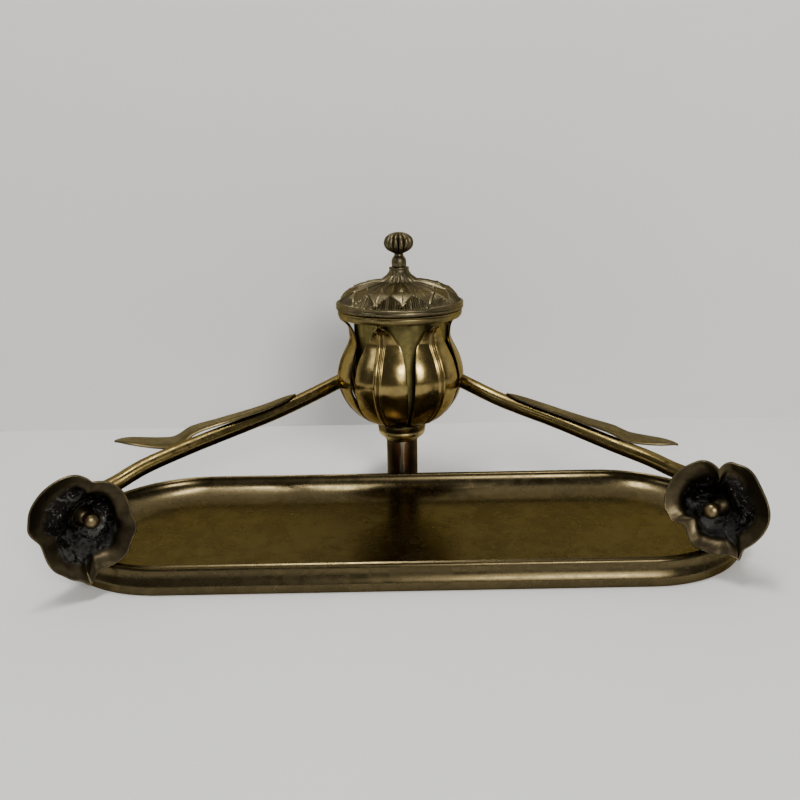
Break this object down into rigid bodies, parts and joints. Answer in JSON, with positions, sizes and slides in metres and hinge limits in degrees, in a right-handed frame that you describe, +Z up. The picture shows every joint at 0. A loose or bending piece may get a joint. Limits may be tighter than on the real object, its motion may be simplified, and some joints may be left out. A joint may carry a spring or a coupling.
{
  "type": "inkwell",
  "caption": "Brass inkstand: round-ended pen tray, tulip-shaped ink holder with a hinged domed lid, and curved stems with leaves that end in poppy flowers over the front corners.",
  "frame": {"origin": "on the table, under the middle of the whole object's bounding box", "axes": "+X along the pen tray to the right as seen from the front, -Y to the front, +Z up"},
  "size_m": [0.31, 0.1612, 0.1354],
  "materials": {
    "tray_brass": "polished brass with a brown patina, finely brushed along its length",
    "petal_brass": "rubbed golden brass with dark hollows",
    "lid_brass": "aged cast brass, dark in its relief",
    "stem_brass": "aged brass tube and sheet with copper-coloured edges",
    "dark_brass": "nearly black patina with a little verdigris",
    "flower_brass": "dark brown patina with grey residue, bright at the edges",
    "pot_glass": "clear pressed glass"
  },
  "bodies": {
    "stand": {"pen_tray": "tray_brass", "foot_bracket": "dark_brass", "post": "dark_brass", "post_collar": "dark_brass", "tie_rod": "dark_brass", "tie_nut": "dark_brass", "petal_1": "petal_brass", "petal_2": "petal_brass", "petal_3": "petal_brass", "petal_4": "petal_brass", "petal_5": "petal_brass", "petal_6": "petal_brass", "inner_cup": "lid_brass", "cup_ring": "lid_brass", "ink_pot": "pot_glass", "hinge_leaf_ring": "dark_brass", "hinge_pin": "dark_brass", "flower_left": "flower_brass", "pistil_cone_left": "flower_brass", "pistil_knob_left": "stem_brass", "calyx_left": "dark_brass", "stem_left": "stem_brass", "leaf_left": "stem_brass", "flower_right": "flower_brass", "pistil_cone_right": "flower_brass", "pistil_knob_right": "stem_brass", "calyx_right": "dark_brass", "stem_right": "stem_brass", "leaf_right": "stem_brass"},
    "lid": {"lid": "lid_brass", "finial_stem": "lid_brass", "finial_nut": "dark_brass", "finial_head": "lid_brass", "hinge_leaf_lid": "dark_brass"}
  },
  "joints": [
    {"name": "lid_hinge", "type": "hinge", "parent": "stand", "child": "lid", "pos_m": [0, 0.0786, 0.0975], "axis": [-1, 0, 0], "range_deg": [0, 105]}
  ]
}
